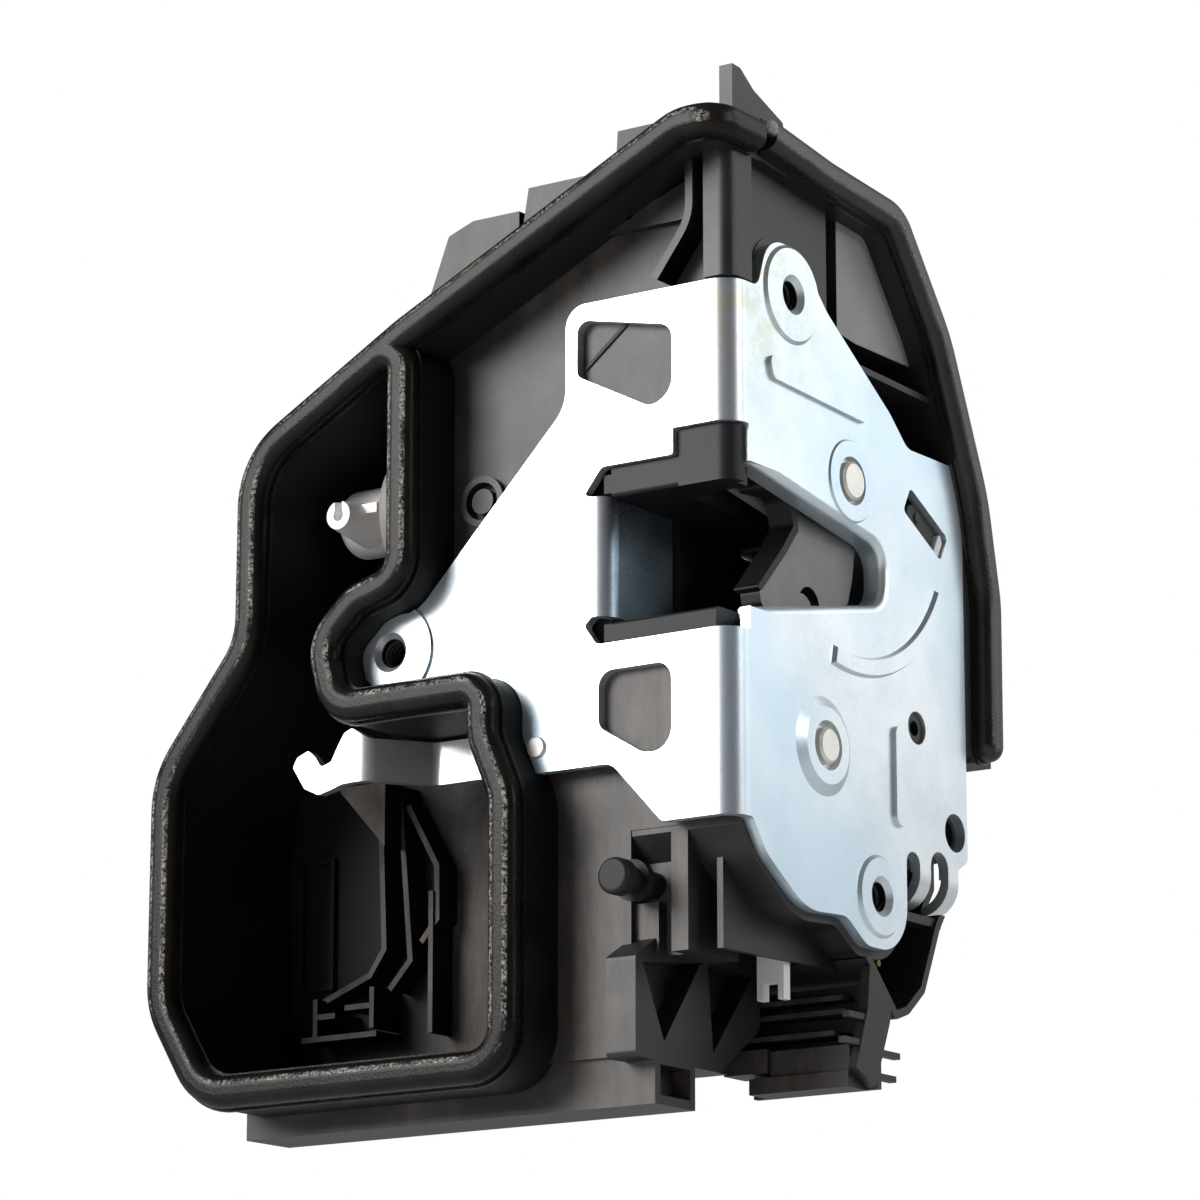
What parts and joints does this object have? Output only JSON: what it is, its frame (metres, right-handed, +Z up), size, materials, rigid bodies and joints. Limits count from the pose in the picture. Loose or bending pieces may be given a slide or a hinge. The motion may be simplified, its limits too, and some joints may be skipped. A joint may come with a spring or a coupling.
{
  "type": "vehicle door latch actuator",
  "caption": "Side door latch with zinc-plated plate, claw in its mouth, black actuator housing, rubber seals, cable pocket and white lock crank.",
  "frame": {"origin": "on the striker's axis line where the end plate's outer face meets the side flange's outer face", "axes": "+X out of the end plate, -Y out of the side flange towards the entering striker, +Z up"},
  "size_m": [0.1251, 0.0949, 0.1807],
  "materials": {
    "zinc": "bright zinc plating, satin",
    "steel": "oiled steel, satin",
    "pin_steel": "turned steel, satin",
    "black_plastic": "moulded, fine texture",
    "grey_plastic": "moulded, fine texture",
    "white_nylon": "moulded, natural nylon",
    "rubber": "matt foam skin",
    "spring_steel": "drawn wire",
    "brass": "satin",
    "gear_plastic": "moulded acetal"
  },
  "bodies": {
    "housing": {"latch_plate": "zinc", "back_plate": "zinc", "claw_pin": "pin_steel", "pawl_pin": "pin_steel", "flange_rivet": "pin_steel", "claw_spring": "spring_steel", "pawl_spring": "spring_steel", "mouth_guide": "black_plastic", "housing_body": "black_plastic", "pocket_tub": "black_plastic", "housing_cover": "black_plastic", "cover_screws": "zinc", "lock_motor": "zinc", "wheel_pin": "pin_steel", "crank_collar": "grey_plastic", "circuit_carrier": "grey_plastic", "switches": "black_plastic", "lever_pin": "pin_steel", "bumper_stud": "black_plastic", "nylon_tab": "white_nylon", "harness_guide": "black_plastic", "connector_shell": "black_plastic", "contact_pins": "brass", "side_seal": "rubber", "end_seal": "rubber"},
    "claw": {"claw": "steel", "claw_cover": "black_plastic"},
    "pawl": {"pawl": "steel"},
    "inside_lever": {"inside_lever": "zinc"},
    "worm_wheel": {"worm_wheel": "gear_plastic"},
    "worm": {"worm": "gear_plastic"},
    "lock_slider": {"lock_slider": "gear_plastic"},
    "lock_crank": {"lock_crank": "white_nylon"}
  },
  "joints": [
    {"name": "claw_turn", "type": "hinge", "parent": "housing", "child": "claw", "pos_m": [0, 0.038, 0.016], "axis": [1, 0, 0], "range_deg": [0, 72], "stiffness_Nm_per_rad": 0.02},
    {"name": "pawl_turn", "type": "hinge", "parent": "housing", "child": "pawl", "pos_m": [0, 0.0278, -0.0335], "axis": [1, 0, 0], "range_deg": [-6, 6], "stiffness_Nm_per_rad": 0.02},
    {"name": "inside_lever_turn", "type": "hinge", "parent": "housing", "child": "inside_lever", "pos_m": [-0.0375, 0.014, -0.027], "axis": [0, 1, 0], "range_deg": [-15, 0], "stiffness_Nm_per_rad": 0.02},
    {"name": "wheel_turn", "type": "hinge", "parent": "housing", "child": "worm_wheel", "pos_m": [-0.0512, 0.0175, -0.003], "axis": [0, 1, 0], "range_deg": [-45, 45]},
    {"name": "worm_turn", "type": "hinge", "parent": "housing", "child": "worm", "pos_m": [-0.0375, 0.0175, -0.002], "axis": [0, 0, 1], "range_deg": [-640, 640]},
    {"name": "slider_travel", "type": "slide", "parent": "housing", "child": "lock_slider", "axis": [0, 0, 1], "range_m": [-0.0043, 0.0043]},
    {"name": "crank_turn", "type": "hinge", "parent": "housing", "child": "lock_crank", "pos_m": [-0.07, 0.014, 0.0159], "axis": [1, 0, 0], "range_deg": [-32.5, 32.5]}
  ],
  "couplings": [
    {"joint": "worm_turn", "follows": "wheel_turn", "ratio": 14},
    {"joint": "slider_travel", "follows": "wheel_turn", "m_per_rad": 0.0054},
    {"joint": "crank_turn", "follows": "wheel_turn", "ratio": 0.7118}
  ]
}
